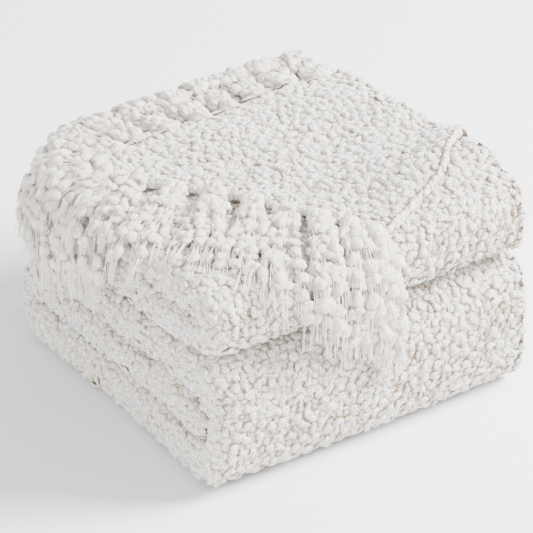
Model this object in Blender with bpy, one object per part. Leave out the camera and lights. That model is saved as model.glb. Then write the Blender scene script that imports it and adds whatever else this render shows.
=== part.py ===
"""A chunky ivory throw with a tasselled end, folded into a stack of five bands.

The cloth is folded in four across its width, which gives a strip of four plies. The strip is
then folded back and forth along its length: two tall folds show at the front, and the five
bands of folded edges show at the left. Its fringed end lies over the top as a loose flap.
Metres, +Z up, front at -Y. The origin is on the surface it lies on, under the middle of the
throw and its tassels in plan.
"""

import math

import bmesh
import bpy
import numpy as np
from mathutils import Matrix

MM = 0.001

# Stack
LENGTH = 330 * MM
WIDTH = 325 * MM
LEFT = -LENGTH / 2
RIGHT = LENGTH / 2
FRONT = -WIDTH / 2
BACK = WIDTH / 2
GAP = 0.8 * MM

# Cloth, and the strip of four plies that it is folded into
CLOTH = 8.7 * MM
PITCH = CLOTH + GAP
PLY = [PITCH * (k + 0.5) for k in range(4)]
STRIP = 4 * PITCH
EDGE_BULGE = 18 * MM
EDGE_SQUARE = 3.0
RAW_EDGE_SET_IN = 2 * MM
TURN = RIGHT - CLOTH - 1 * MM
COLUMNS = 4
RUN_STEPS = 4

# Heights of the lines between bands, from the surface up, and how each one waves
LINES = {
    # name: (height, lift along x, lift along y, rise at the front)
    "floor": (0 * MM, 0 * MM, 0 * MM, 0 * MM),
    "low": (44 * MM, 1.5 * MM, 1.0 * MM, 1 * MM),
    "middle": (81 * MM, -1.5 * MM, 1.5 * MM, -10 * MM),
    "seam": (121 * MM, 1.5 * MM, -1.0 * MM, 9 * MM),
    "high": (158 * MM, -1.0 * MM, 1.5 * MM, 3 * MM),
    "top": (190 * MM, 1.5 * MM, -1.5 * MM, 0 * MM),
}

# Bands in the order of the strip's path: lines below and above, and whether its outer side is up
BANDS = {
    "inside": ("low", "middle", True),
    "bottom": ("floor", "low", False),
    "third": ("middle", "seam", True),
    "fourth": ("seam", "high", False),
    "last": ("high", "top", True),
}

# Folds: outer lines, inner lines, way out along y, place of the furthest point,
# depth of the outer and inner curve, squareness of the lower and upper half
FOLDS = {
    "lower_back": ("floor", "middle", "low", "low", 1, BACK + 6 * MM, 34 * MM, 6 * MM, 2.2, 2.6),
    "lower_front": ("floor", "seam", "low", "middle", -1, FRONT, 42 * MM, 18 * MM, 2.8, 2.4),
    "upper_back": ("middle", "high", "seam", "seam", 1, BACK - 3 * MM, 32 * MM, 5 * MM, 2.6, 2.6),
    "upper_front": ("seam", "top", "high", "high", -1, FRONT + 3 * MM, 36 * MM, 8 * MM, 3.0, 2.3),
}
FOLD_STEPS = 7
LAST_END = BACK - 5 * MM
NOSE_SQUARE = 2.6
NOSE_SET_IN = 1.5 * MM

# Waves of the lines between bands, and how far back their rise at the front reaches
WAVE_X = 2.1 * math.pi / LENGTH
WAVE_Y = 1.7 * math.pi / WIDTH
RISE_FROM = FRONT + 85 * MM
RISE_OVER = 60 * MM

# How the stack's sides settle. A pack is what one tall fold at the front holds.
PACK_ROUND = 9 * MM
FRONT_CORNER = 16 * MM
BACK_CORNER = 6 * MM
CORNER_ROOM = 30 * MM
LEFT_SHARE = 0.6
LEFT_SET_IN = 2 * MM
UPPER_SET_IN = 5 * MM
BASE_SET_IN = 5 * MM
BASE_HEIGHT = 28 * MM
SEAM_BLEND = 12 * MM
FRONT_BELLY = 4 * MM
BELLY_MIDDLE = 25 * MM
BELLY_TURN = 2.4 / LENGTH
SIDE_REACH = 70 * MM
# The upper pack's back left corner is round in plan, more so towards the top.
SLUMP_REACH = 92 * MM
SLUMP_LOW = 110 * MM
SLUMP_HIGH = 185 * MM

# Loose flap on top. Its fringed edge starts at the back right, turns at the left corner and
# runs across to the front, and its selvedge goes back from there to the right.
FRINGE_EDGE = [
    (150, 112), (112, 113), (70, 112), (0, 107), (-60, 104), (-103, 99), (-127, 84), (-129, 58),
    (-108, 30), (-80, 0), (-50, -42), (-30, -82), (-14, -118), (2, -147),
]
SELVEDGE = [(48, -131), (96, -108), (124, -88), (148, -74), (176, -63)]
FLAP_ROWS = [-158, -148, -135, -118, -100, -82, -66, -52, -40, -25, 5, 40, 75, 118]
FLAP_COLUMNS = [-142, -110, -75, -40, -5, 30, 65, 95, 118, 138]
FLAP_REACH = 200
OUTLINE_POINTS = 64
SELVEDGE_POINTS = 9
# Where the flap turns in under its right side: distance past the stack's last ply, height
FLAP_CURL = [(0, 9.5), (5, 8.7), (9, 6.5), (10.5, 3), (9, -2), (5, -4.5), (2, -4), (1, -1.5), (0, 0.8)]
CORNER_LIFT = 12 * MM
CORNER_REACH = 16 * MM
CORNER_SPOT = (158 * MM, -62 * MM)

# Tassels along the fringed edge, each one a few locks that share a strip at their roots
TASSELS = 18
LOCKS = 4
LOCK_SHARE = 0.8
LOCK_STEPS = 8
LOCK_THICK = 6 * MM
LOCK_WIDTH = 0.8
LOCK_SLANT = 0.55
LOCK_TAPER = 0.35
LOCK_SQUARE = 2.4
BEND_STEPS = 40
PLAN_POINTS = 400
SIDE_GAP = 0.7 * MM
STRIP_WIDTH = 5 * MM
STRIP_TOP = GAP + 0.95 * CLOTH
STRIPS = {
    # node: (first tassel, one past the last)
    "tassels_back": (0, 8),
    "tassels_corner": (8, 12),
    "tassels_side": (12, 15),
    "tassels_front": (15, 18),
}
HEADINGS = {
    # share of the fringed edge: (heading in degrees, length of the locks)
    0.00: (88, 112 * MM),
    0.25: (93, 114 * MM),
    0.42: (103, 112 * MM),
    0.47: (125, 112 * MM),
    0.51: (158, 116 * MM),
    0.55: (186, 118 * MM),
    0.61: (206, 116 * MM),
    0.68: (224, 112 * MM),
    0.76: (236, 112 * MM),
    0.85: (240, 116 * MM),
    0.92: (243, 124 * MM),
    1.00: (262, 122 * MM),
}

# How far the cutter of the flap's outline reaches above and below the top
CUTTER_REACH = 60 * MM

# Where hanging locks clear the stack: outward direction, distance from the middle, rounding
# across and down
WALLS = [
    (180, LENGTH / 2 + 6 * MM, 20 * MM, 20 * MM),
    (270, WIDTH / 2 + 10 * MM, 50 * MM, 44 * MM),
    (90, WIDTH / 2 + 9 * MM, 14 * MM, 16 * MM),
]


def height_of(line, x, y):
    """Height of a line between bands: a level with one slow wave each way and a rise at the front."""
    level, lift_x, lift_y, rise = LINES[line]
    wave = lift_x * np.sin(WAVE_X * x) + lift_y * np.cos(WAVE_Y * y)
    near = np.clip((RISE_FROM - y) / RISE_OVER, 0, 1)
    return level + wave + rise * near * near * (3 - 2 * near)


def squared_arc(turn, power):
    """Unit point of a squared circle at an angle: powers above 2 make it boxier."""
    out = np.abs(np.cos(turn)) ** (2 / power)
    up = np.sign(np.sin(turn)) * np.abs(np.sin(turn)) ** (2 / power)
    return out, up


def edge_arc(centre_x, side, centre_v, across, up, steps):
    """A folded edge in the strip's section, from its lower ply up to its upper one."""
    out, rise = squared_arc(np.linspace(-math.pi / 2, math.pi / 2, steps + 1), EDGE_SQUARE)
    return np.column_stack([centre_x + side * across * out, centre_v + up * rise])


def strip_section():
    """Outline of the four plies as (x, share of the strip's thickness).

    The cloth starts at a raw edge as ply 3 at the right, turns at the left into ply 2, turns
    at the right into ply 1, wraps round the left edge and ends at the right as ply 4. The
    outline goes along one side of that path and back along the other.
    """
    half = CLOTH / 2
    fold = LEFT + EDGE_BULGE
    middle = 2 * PITCH
    inner = EDGE_BULGE - CLOTH
    columns = np.linspace(fold, TURN, COLUMNS + 1)[1:-1]

    def rightward(v):
        return np.column_stack([columns, np.full(len(columns), v)])

    def leftward(v):
        return rightward(v)[::-1]

    def raw_edge(v):
        """The cut edge of a ply at the right, from its upper side to its lower one."""
        tip = RIGHT - RAW_EDGE_SET_IN
        return np.array([[TURN, v + half], [tip - 2 * MM, v + half], [tip, v + half / 2],
                         [tip, v - half / 2], [tip - 2 * MM, v - half], [TURN, v - half]])

    outline = np.vstack([
        leftward(PLY[2] - half),
        edge_arc(fold, -1, middle, GAP / 2, GAP / 2, 2)[::-1],
        rightward(PLY[1] + half),
        edge_arc(TURN, 1, PITCH, CLOTH, PITCH - GAP / 2, 4)[::-1],
        leftward(PLY[0] - half),
        edge_arc(fold, -1, middle, EDGE_BULGE, middle - GAP / 2, 8),
        rightward(PLY[3] + half),
        raw_edge(PLY[3]),
        leftward(PLY[3] - half),
        edge_arc(fold, -1, middle, inner, PLY[3] - half - middle, 6)[::-1],
        rightward(PLY[0] + half),
        edge_arc(TURN, 1, PITCH, GAP / 2, GAP / 2, 2),
        leftward(PLY[1] - half),
        edge_arc(fold, -1, middle, inner - GAP, PLY[2] + half - middle, 6),
        rightward(PLY[2] + half),
        raw_edge(PLY[2]),
    ])
    share = (outline[:, 1] - GAP / 2) / (STRIP - GAP)
    return outline[:, 0], np.clip(share, 0, 1)


def between(lower, upper, share, outer_up):
    """Points at a share of the strip's thickness between its lower and upper curve."""
    part = share if outer_up else 1 - share
    return lower + (upper - lower) * part


def run_station(band, x, share, y):
    """The strip's section where it runs flat in a band."""
    below, above, outer_up = BANDS[band]
    lift = 0 if below == "floor" else GAP / 2
    lower = height_of(below, x, y) + lift
    upper = height_of(above, x, y) - GAP / 2
    return np.column_stack([x, np.full(len(x), y), between(lower, upper, share, outer_up)])


def fold_start(fold):
    """Where along y a fold's curve begins."""
    return FOLDS[fold][5] - FOLDS[fold][4] * FOLDS[fold][6]


def fold_station(fold, x, share, turn, outer_share):
    """The strip's section on its way round a fold: turn is -90 degrees below and 90 above."""
    low, high, in_low, in_high, way, _, depth, inner_depth, low_power, high_power = FOLDS[fold]
    start = fold_start(fold)
    out, rise = squared_arc(turn, low_power if turn < 0 else high_power)
    lift = 0 if low == "floor" else GAP / 2
    bottom = height_of(low, x, start) + lift
    top = height_of(high, x, start) - GAP / 2
    inner_bottom = height_of(in_low, x, start) - GAP / 2
    inner_top = height_of(in_high, x, start) + GAP / 2
    outer_y = start + way * depth * out
    outer_z = (bottom + top) / 2 + (top - bottom) / 2 * rise
    inner_y = start + way * inner_depth * out
    inner_z = (inner_bottom + inner_top) / 2 + (inner_top - inner_bottom) / 2 * rise
    part = share if outer_share else 1 - share
    y = inner_y + (outer_y - inner_y) * part
    z = inner_z + (outer_z - inner_z) * part
    return np.column_stack([x, y, z])


def nose_station(x, share, turn):
    """The hidden end of the strip, inside the lower front fold."""
    _, _, in_low, in_high, way, _, _, inner_depth, _, _ = FOLDS["lower_front"]
    start = fold_start("lower_front")
    out, rise = squared_arc(turn, NOSE_SQUARE)
    bottom = height_of(in_low, x, start) + GAP / 2
    top = height_of(in_high, x, start) - GAP / 2
    half = (top - bottom) / 2 * rise
    z = between((bottom + top) / 2 - half, (bottom + top) / 2 + half, share, True)
    y = np.full(len(x), start + way * (inner_depth - NOSE_SET_IN) * out)
    return np.column_stack([x, y, z])


def slump(points):
    """Rounds the back left corner in plan: its square turns into a quarter circle towards the top."""
    x, y, z = np.transpose(points)
    across = np.clip(1 - (x - LEFT) / SLUMP_REACH, 0, None)
    along = np.clip(1 - (BACK - y) / SLUMP_REACH, 0, None)
    outmost = np.maximum(across, along)
    length = np.maximum(np.hypot(across, along), 1e-9)
    share = np.clip((z - SLUMP_LOW) / (SLUMP_HIGH - SLUMP_LOW), 0, 1)
    pull = np.where((across > 0) & (along > 0), outmost / length, 1) ** (share * outmost)
    x = np.where(across > 0, LEFT + SLUMP_REACH * (1 - across * pull), x)
    y = np.where(along > 0, BACK - SLUMP_REACH * (1 - along * pull), y)
    return np.column_stack([x, y, z])


def settle(points):
    """Moves the sides as soft cloth lies: round upright corners and pack edges, a full lower front."""
    x, y, z = np.transpose(points)
    seam = LINES["seam"][0] + LINES["seam"][3]
    top = LINES["top"][0]
    lower = np.clip((seam + SEAM_BLEND / 2 - z) / SEAM_BLEND, 0, 1)
    pack = np.where(z < seam, z / seam, (z - seam) / (top - seam))
    bow = 1 - np.sqrt(np.clip(1 - (2 * pack - 1) ** 2, 0, 1))
    front_room = 1 - np.clip(y - FRONT, 0, CORNER_ROOM) / CORNER_ROOM
    back_room = 1 - np.clip(BACK - y, 0, CORNER_ROOM) / CORNER_ROOM
    corner = (FRONT_CORNER * (1 - np.sqrt(1 - front_room ** 2))
              + BACK_CORNER * (1 - np.sqrt(1 - back_room ** 2)))
    base = BASE_SET_IN * np.clip(1 - z / BASE_HEIGHT, 0, 1) * np.clip(y / BACK, 0, 1)
    right = np.clip((x - RIGHT + SIDE_REACH) / SIDE_REACH, 0, 1)
    left = np.clip((LEFT + SIDE_REACH - x) / SIDE_REACH, 0, 1)
    ripple = 2.0 * MM * np.sin(24 * y + 40 * z + 1.0) + 1.5 * MM * np.sin(61 * z - 15 * y)
    towards = np.clip(-4 * y / WIDTH - 1, 0, 1)
    belly = FRONT_BELLY * np.cos(BELLY_TURN * (x - BELLY_MIDDLE)) * towards
    x = x - right ** 2 * (PACK_ROUND * bow + corner + UPPER_SET_IN * (1 - lower))
    x = x + left ** 2 * (LEFT_SHARE * corner + LEFT_SET_IN + base + ripple)
    return slump(np.column_stack([x, y - belly * lower, z]))


def strip_stations():
    """Every section along the strip's path, from its hidden end to its end on top."""
    x, share = strip_section()
    quarter = math.pi / 2
    sections = [nose_station(x, share, turn) for turn in np.radians([18, 40, 65])]

    def run(band, start, end):
        for y in np.linspace(start, end, RUN_STEPS + 1):
            sections.append(run_station(band, x, share, y))

    def fold(name, start, end, outer_share):
        for turn in np.linspace(start, end, FOLD_STEPS + 1)[1:-1]:
            sections.append(fold_station(name, x, share, turn, outer_share))

    run("inside", fold_start("lower_front"), fold_start("lower_back"))
    fold("lower_back", quarter, -quarter, True)
    run("bottom", fold_start("lower_back"), fold_start("lower_front"))
    fold("lower_front", -quarter, quarter, True)
    run("third", fold_start("lower_front"), fold_start("upper_back"))
    fold("upper_back", -quarter, quarter, False)
    run("fourth", fold_start("upper_back"), fold_start("upper_front"))
    fold("upper_front", -quarter, quarter, True)
    run("last", fold_start("upper_front"), LAST_END)
    return np.array([settle(section) for section in sections])


def top_surface(x, y):
    """Height of the stack's top, which turns down over the upper front fold."""
    _, _, _, _, _, _, depth, _, _, power = FOLDS["upper_front"]
    start = fold_start("upper_front")
    reach = np.maximum(y, start)
    bottom = height_of("seam", x, reach) + GAP / 2
    top = height_of("top", x, reach) - GAP / 2
    out = np.clip((start - y) / depth, 0, 0.999)
    rise = (1 - out ** power) ** (1 / power)
    return (bottom + top) / 2 + (top - bottom) / 2 * rise


def above_top(x, y, lift):
    """Points at a distance from the stack's top, square to its slope along y."""
    x, y, lift = np.broadcast_arrays(x, y, lift)
    step = 0.5 * MM
    slope = (top_surface(x, y + step) - top_surface(x, y - step)) / (2 * step)
    length = np.sqrt(1 + slope ** 2)
    return np.column_stack([x, y - slope / length * lift, top_surface(x, y) + lift / length])


def smooth_line(points, count):
    """A smooth line through points, as positions and unit directions at even distances."""
    points = np.array(points) * MM
    ends = np.vstack([2 * points[0] - points[1], points, 2 * points[-1] - points[-2]])
    t = np.linspace(0, 1, 12, endpoint=False)[:, None]
    spans = []
    for a, b, c, d in zip(ends, ends[1:], ends[2:], ends[3:]):
        spans.append(0.5 * (2 * b + (c - a) * t + (2 * a - 5 * b + 4 * c - d) * t ** 2
                            + (3 * b - a - 3 * c + d) * t ** 3))
    dense = np.vstack(spans + [points[-1:]])
    distance = np.insert(np.cumsum(np.linalg.norm(np.diff(dense, axis=0), axis=1)), 0, 0)
    even = np.linspace(0, distance[-1], count)
    line = np.column_stack([np.interp(even, distance, dense[:, i]) for i in range(2)])
    way = np.gradient(line, axis=0)
    return line, way / np.linalg.norm(way, axis=1)[:, None], distance[-1]


def flap_sections():
    """Sections of the flap before it is cut out: a sheet that turns in under its right side."""
    flat = [(x * MM, GAP + CLOTH) for x in FLAP_COLUMNS]
    curl = [(TURN + past * MM, lift * MM) for past, lift in FLAP_CURL]
    under = [(x * MM, GAP) for x in FLAP_COLUMNS[::-1]]
    x, lift = np.array(flat + curl + under).T
    sections = []
    for y in np.array(FLAP_ROWS) * MM:
        away = np.hypot(x - CORNER_SPOT[0], y - CORNER_SPOT[1]) / CORNER_REACH
        raised = CORNER_LIFT * np.exp(-away ** 2) * (lift > 0)
        sections.append(settle(above_top(x, y, lift + raised)))
    return np.array(sections)


def flap_outline():
    """The flap's edge seen from above, past the right side of the stack where it turns under."""
    fringe, _, _ = smooth_line(FRINGE_EDGE, OUTLINE_POINTS)
    selvedge, _, _ = smooth_line(FRINGE_EDGE[-1:] + SELVEDGE, SELVEDGE_POINTS)
    beyond = [[FLAP_REACH, SELVEDGE[-1][1]], [FLAP_REACH, FRINGE_EDGE[0][1]]]
    points = np.vstack([fringe, selvedge[1:], np.array(beyond) * MM])
    return settle(np.column_stack([points, np.full(len(points), LINES["top"][0])]))[:, :2]


def prism(name, outline, low, high):
    """An upright prism on an outline in plan."""
    rows = [np.column_stack([outline, np.full(len(outline), z)]) for z in (low, high)]
    return closed_loft(name, np.array(rows))


def lock_path(root, heading, length):
    """Middle line of a lock: over the top, round the nearest edge and straight down."""
    way = np.array([math.cos(heading), math.sin(heading)])
    hits = []
    for wall in WALLS:
        out = np.array([math.cos(math.radians(wall[0])), math.sin(math.radians(wall[0]))])
        towards = float(way @ out)
        if towards > 0.05:
            hits.append(((wall[1] - float(root @ out)) / towards, towards, wall))
    reach, towards, wall = min(hits)
    across, down = wall[2] / towards, wall[3]
    turn = np.linspace(0, math.pi / 2, BEND_STEPS)
    bend = reach - across
    flat = np.arange(min(0, bend) - 1 * MM, bend, 5 * MM)
    t = np.concatenate([flat, bend + across * np.sin(turn) ** (2 / LOCK_SQUARE), [reach]])
    fall = np.concatenate([0 * flat, down - down * np.cos(turn) ** (2 / LOCK_SQUARE), [down + length]])
    x = root[0] + t * way[0]
    y = np.clip(root[1] + t * way[1], fold_start("upper_front"), LAST_END)
    z = height_of("top", x, y) + CLOTH / 2 + GAP / 2 - fall
    start_z = np.interp(0, t, z)
    keep = t > 0
    t = np.concatenate([[0], t[keep]])
    z = np.concatenate([[start_z], z[keep]])
    distance = np.insert(np.cumsum(np.hypot(np.diff(t), np.diff(z))), 0, 0)
    even = np.linspace(0, length, LOCK_STEPS + 1)
    t, z = np.interp(even, distance, t), np.interp(even, distance, z)
    path = np.column_stack([root + t[:, None] * way, z])
    middle = slump(path)
    side = slump(path + np.array([-way[1], way[0], 0]) * MM) - middle
    tangent = np.gradient(middle, axis=0)
    up = np.cross(tangent, side)
    return middle, up / row_lengths(up), side / row_lengths(side)


def row_lengths(rows):
    return np.linalg.norm(rows, axis=1)[:, None]


def lock_bounds(first, last, pitch):
    """Where locks begin and end along the fringed edge, and which spans are locks."""
    lock = pitch * LOCK_SHARE / LOCKS
    bounds = [first * pitch + SIDE_GAP]
    locks = []
    for tassel in range(first, last):
        begin = (tassel + (1 - LOCK_SHARE) / 2) * pitch
        for i in range(LOCKS):
            locks.append(len(bounds))
            bounds += [begin + (i + 0.1) * lock, begin + (i + 0.9) * lock]
    bounds.append(last * pitch - SIDE_GAP)
    return np.array(bounds), locks, lock


def add_lock(bm, ring, path, width):
    """Carries a lock on from its root's four corners to its tip."""
    for step, (middle, up, side) in enumerate(zip(*path)):
        if step == 0:
            continue
        taper = 1 - LOCK_TAPER * (step / LOCK_STEPS) ** 3
        wide, high = side * width / 2 * taper, up * LOCK_THICK / 2 * taper
        points = [middle - wide + high, middle - wide - high, middle + wide - high, middle + wide + high]
        new = [bm.verts.new(point) for point in points]
        for j in range(4):
            k = (j + 1) % 4
            bm.faces.new((ring[j], ring[k], new[k], new[j]))
        ring = new
    bm.faces.new(ring)


def tassel_strip(name, first, last):
    """A narrow strip along the fringed edge with the locks of its tassels, as one closed mesh."""
    line, way, total = smooth_line(FRINGE_EDGE, PLAN_POINTS)
    places = np.linspace(0, total, PLAN_POINTS)
    bounds, locks, lock = lock_bounds(first, last, total / TASSELS)
    spot = np.column_stack([np.interp(bounds, places, line[:, i]) for i in range(2)])
    along = np.column_stack([np.interp(bounds, places, way[:, i]) for i in range(2)])
    out = np.column_stack([along[:, 1], -along[:, 0]])
    inner, outer = spot + out * SIDE_GAP, spot + out * (SIDE_GAP + STRIP_WIDTH)
    corners = [settle(above_top(place[:, 0], place[:, 1], lift))
               for place, lift in ((inner, GAP), (inner, STRIP_TOP), (outer, STRIP_TOP), (outer, GAP))]
    bm = bmesh.new()
    rings = [[bm.verts.new(point) for point in ring] for ring in np.stack(corners, axis=1).tolist()]
    for i, (a, b) in enumerate(zip(rings, rings[1:])):
        for j in range(4):
            if j == 2 and i in locks:
                continue
            k = (j + 1) % 4
            bm.faces.new((a[j], a[k], b[k], b[j]))
    bm.faces.new(rings[0])
    bm.faces.new(rings[-1][::-1])
    shares = sorted(HEADINGS)
    for order, i in enumerate(locks):
        share = (bounds[i] + bounds[i + 1]) / 2 / total
        turn = math.radians(np.interp(share, shares, [HEADINGS[k][0] for k in shares]))
        length = np.interp(share, shares, [HEADINGS[k][1] for k in shares])
        length *= 1 + 0.05 * math.sin(2.4 * order + 5 * first)
        path = lock_path((outer[i] + outer[i + 1]) / 2, turn, length)
        slant = abs(math.cos(turn) * out[i, 0] + math.sin(turn) * out[i, 1])
        ring = [rings[i][2], rings[i][3], rings[i + 1][3], rings[i + 1][2]]
        add_lock(bm, ring, path, LOCK_WIDTH * lock * max(slant, LOCK_SLANT))
    return finished_mesh(name, bm)


def finished_mesh(name, bm):
    bmesh.ops.recalc_face_normals(bm, faces=bm.faces)
    mesh = bpy.data.meshes.new(name)
    bm.to_mesh(mesh)
    bm.free()
    return mesh


def closed_loft(name, sections):
    """A closed mesh from sections with the same number of points each, capped at both ends."""
    count, around = sections.shape[:2]
    bm = bmesh.new()
    rows = [[bm.verts.new(point) for point in section] for section in sections.tolist()]
    for i in range(count - 1):
        for j in range(around):
            k = (j + 1) % around
            bm.faces.new((rows[i][j], rows[i][k], rows[i + 1][k], rows[i + 1][j]))
    bm.faces.new(rows[0][::-1])
    bm.faces.new(rows[-1])
    return finished_mesh(name, bm)


def cloth_material(name, colour, roughness):
    material = bpy.data.materials.new(name)
    material.use_nodes = True
    shader = material.node_tree.nodes["Principled BSDF"]
    shader.inputs["Base Color"].default_value = (*colour, 1)
    shader.inputs["Roughness"].default_value = roughness
    shader.inputs["Metallic"].default_value = 0
    return material


def add_piece(name, mesh, material, collection):
    piece = bpy.data.objects.new(name, mesh)
    if material:
        mesh.materials.append(material)
    mesh.shade_smooth()
    mesh.set_sharp_from_angle(angle=math.radians(40))
    collection.objects.link(piece)
    return piece


def helper_piece(name, mesh, collection):
    piece = add_piece(name, mesh, None, collection)
    piece.hide_render = True
    piece.display_type = "WIRE"
    return piece


def boolean(piece, operation, other):
    change = piece.modifiers.new(other.name, "BOOLEAN")
    change.operation = operation
    change.solver = "EXACT"
    change.object = other


def plan_middle(meshes):
    """The middle of the meshes' box in plan."""
    points = np.array([vertex.co[:2] for mesh in meshes for vertex in mesh.vertices])
    return (points.min(axis=0) + points.max(axis=0)) / 2


def main():
    for item in list(bpy.data.objects):
        bpy.data.objects.remove(item, do_unlink=True)
    collection = bpy.data.collections.new("folded_throw")
    helpers = bpy.data.collections.new("helpers")
    for group in (collection, helpers):
        bpy.context.scene.collection.children.link(group)
    helpers.hide_render = True
    ivory = cloth_material("ivory_cloth", (0.80, 0.78, 0.73), 0.9)
    cream = cloth_material("cream_yarn", (0.84, 0.80, 0.72), 0.95)

    top = LINES["top"][0]
    cloth = closed_loft("throw_cloth", strip_stations())
    tassels = {name: tassel_strip(name, first, last) for name, (first, last) in STRIPS.items()}
    flap = closed_loft("flap", flap_sections())
    outline = prism("flap_outline", flap_outline(), top - CUTTER_REACH, top + CUTTER_REACH)
    middle = plan_middle([cloth, *tassels.values()])
    for mesh in (cloth, flap, outline, *tassels.values()):
        mesh.transform(Matrix.Translation((-middle[0], -middle[1], 0)))

    loose_flap = helper_piece("flap", flap, helpers)
    boolean(loose_flap, "INTERSECT", helper_piece("flap_outline", outline, helpers))
    throw = add_piece("throw_cloth", cloth, ivory, collection)
    boolean(throw, "UNION", loose_flap)
    for name, mesh in tassels.items():
        add_piece(name, mesh, cream, collection)


main()
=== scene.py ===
"""Looks of the folded throw: thin folded cloth under joined puffs, and tassels of puffs on threads.

Metres, +Z up, front at -Y. The stack's own shape is worked out here again from the same named
sizes as its solids, at a finer step: cloth_point gives any point of the folded strip from its
place across and along the cloth, and flap_point any point of the loose end on top.
"""

import math

import bpy
import numpy as np
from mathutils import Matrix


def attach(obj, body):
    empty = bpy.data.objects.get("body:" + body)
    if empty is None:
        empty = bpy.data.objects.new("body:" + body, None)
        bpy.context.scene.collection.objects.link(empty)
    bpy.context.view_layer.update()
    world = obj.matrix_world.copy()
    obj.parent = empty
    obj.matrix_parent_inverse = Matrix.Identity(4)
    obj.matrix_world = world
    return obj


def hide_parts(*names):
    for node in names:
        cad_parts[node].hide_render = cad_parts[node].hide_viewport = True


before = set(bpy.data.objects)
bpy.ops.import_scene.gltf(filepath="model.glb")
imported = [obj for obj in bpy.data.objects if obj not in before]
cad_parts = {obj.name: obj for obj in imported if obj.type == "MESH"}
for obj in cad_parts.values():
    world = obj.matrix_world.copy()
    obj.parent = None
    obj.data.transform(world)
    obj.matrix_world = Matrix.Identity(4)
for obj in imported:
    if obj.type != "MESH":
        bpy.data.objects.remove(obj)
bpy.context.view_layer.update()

MM = 0.001
SHIFT = np.array([5.25, 0.55, 0]) * MM

# Stack
LENGTH = 330 * MM
WIDTH = 325 * MM
LEFT = -LENGTH / 2
RIGHT = LENGTH / 2
FRONT = -WIDTH / 2
BACK = WIDTH / 2
GAP = 0.8 * MM
CLOTH = 8.7 * MM
PITCH = CLOTH + GAP
STRIP = 4 * PITCH
EDGE_BULGE = 18 * MM
EDGE_SQUARE = 3.0
TURN = RIGHT - CLOTH - 1 * MM
RAW_EDGE = RIGHT - 6 * MM

# Heights of the lines between bands, and how each one waves
LINES = {
    # name: (height, lift along x, lift along y, rise at the front, rise at the right)
    "floor": (0 * MM, 0 * MM, 0 * MM, 0 * MM, 0 * MM),
    "low": (44 * MM, 1.5 * MM, 1.0 * MM, 1 * MM, 0 * MM),
    "middle": (81 * MM, -1.5 * MM, 1.5 * MM, -10 * MM, 0 * MM),
    "seam": (121 * MM, 1.5 * MM, -1.0 * MM, 9 * MM, 0 * MM),
    "high": (158 * MM, -1.0 * MM, 1.5 * MM, 3 * MM, 9 * MM),
    "top": (190 * MM, 1.5 * MM, -1.5 * MM, 0 * MM, 24 * MM),
}

# Bands: lines below and above, and whether the strip's outer side is up
BANDS = {
    "inside": ("low", "middle", True),
    "bottom": ("floor", "low", False),
    "third": ("middle", "seam", True),
    "fourth": ("seam", "high", False),
    "last": ("high", "top", True),
}

# Folds: outer lines, inner lines, way out along y, place of the furthest point,
# depth of the outer and inner curve, squareness of the lower and upper half
FOLDS = {
    "lower_back": ("floor", "middle", "low", "low", 1, BACK + 6 * MM, 34 * MM, 6 * MM, 2.2, 2.6),
    "lower_front": ("floor", "seam", "low", "middle", -1, FRONT, 42 * MM, 18 * MM, 2.8, 2.4),
    "upper_back": ("middle", "high", "seam", "seam", 1, BACK - 3 * MM, 32 * MM, 5 * MM, 2.6, 2.6),
    "upper_front": ("seam", "top", "high", "high", -1, FRONT + 3 * MM, 36 * MM, 8 * MM, 3.0, 2.3),
}
LAST_END = BACK - 5 * MM
NOSE_SQUARE = 2.6
NOSE_SET_IN = 1.5 * MM
WAVE_X = 2.1 * math.pi / LENGTH
WAVE_Y = 1.7 * math.pi / WIDTH
RISE_FROM = FRONT + 85 * MM
RISE_OVER = 60 * MM
# Rise at the right: where it starts and its run, across and along, and its level share
RIGHT_FROM = 4 * MM
RIGHT_OVER = 145 * MM
RIGHT_START = FRONT + 5 * MM
RIGHT_END = BACK - 52 * MM
RIGHT_FADE = 60 * MM
RIGHT_SHARE = 0.25
HUMP_AT = -95 * MM
HUMP_WIDE = 38 * MM

# How the stack's sides settle
PACK_ROUND = 9 * MM
TOP_SHARE = 0.3
FRONT_CORNER = 16 * MM
BACK_CORNER = 6 * MM
CORNER_ROOM = 30 * MM
LEFT_SHARE = 0.6
LEFT_SET_IN = 2 * MM
UPPER_SET_IN = 5 * MM
BASE_SET_IN = 5 * MM
BASE_HEIGHT = 28 * MM
SEAM_BLEND = 12 * MM
FRONT_BELLY = 4 * MM
BELLY_MIDDLE = 25 * MM
BELLY_TURN = 2.4 / LENGTH
SIDE_REACH = 70 * MM
SLUMP_REACH = 92 * MM
SLUMP_LOW = 110 * MM
SLUMP_HIGH = 185 * MM

# Loose flap on top, in mm in plan
FRINGE_EDGE = [
    (150, 112), (112, 113), (70, 112), (0, 107), (-60, 104), (-103, 99), (-127, 84), (-129, 58),
    (-108, 30), (-80, 0), (-50, -42), (-30, -82), (-14, -118), (2, -147),
]
SELVEDGE = [(48, -131), (96, -108), (124, -88), (148, -74), (156, -71)]
CORNER_LIFT = 1 * MM
CORNER_REACH = 16 * MM
CORNER_SPOT = (158 * MM, -62 * MM)
FLAP_LIFT = GAP + CLOTH / 2
RIM_SET_IN = 7 * MM
CURL = 4.9 * MM

# Thin cloth under the puffs
SHEET = 3.2 * MM
# Small step at which slopes and directions are taken
NUDGE = 0.5 * MM

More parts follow.
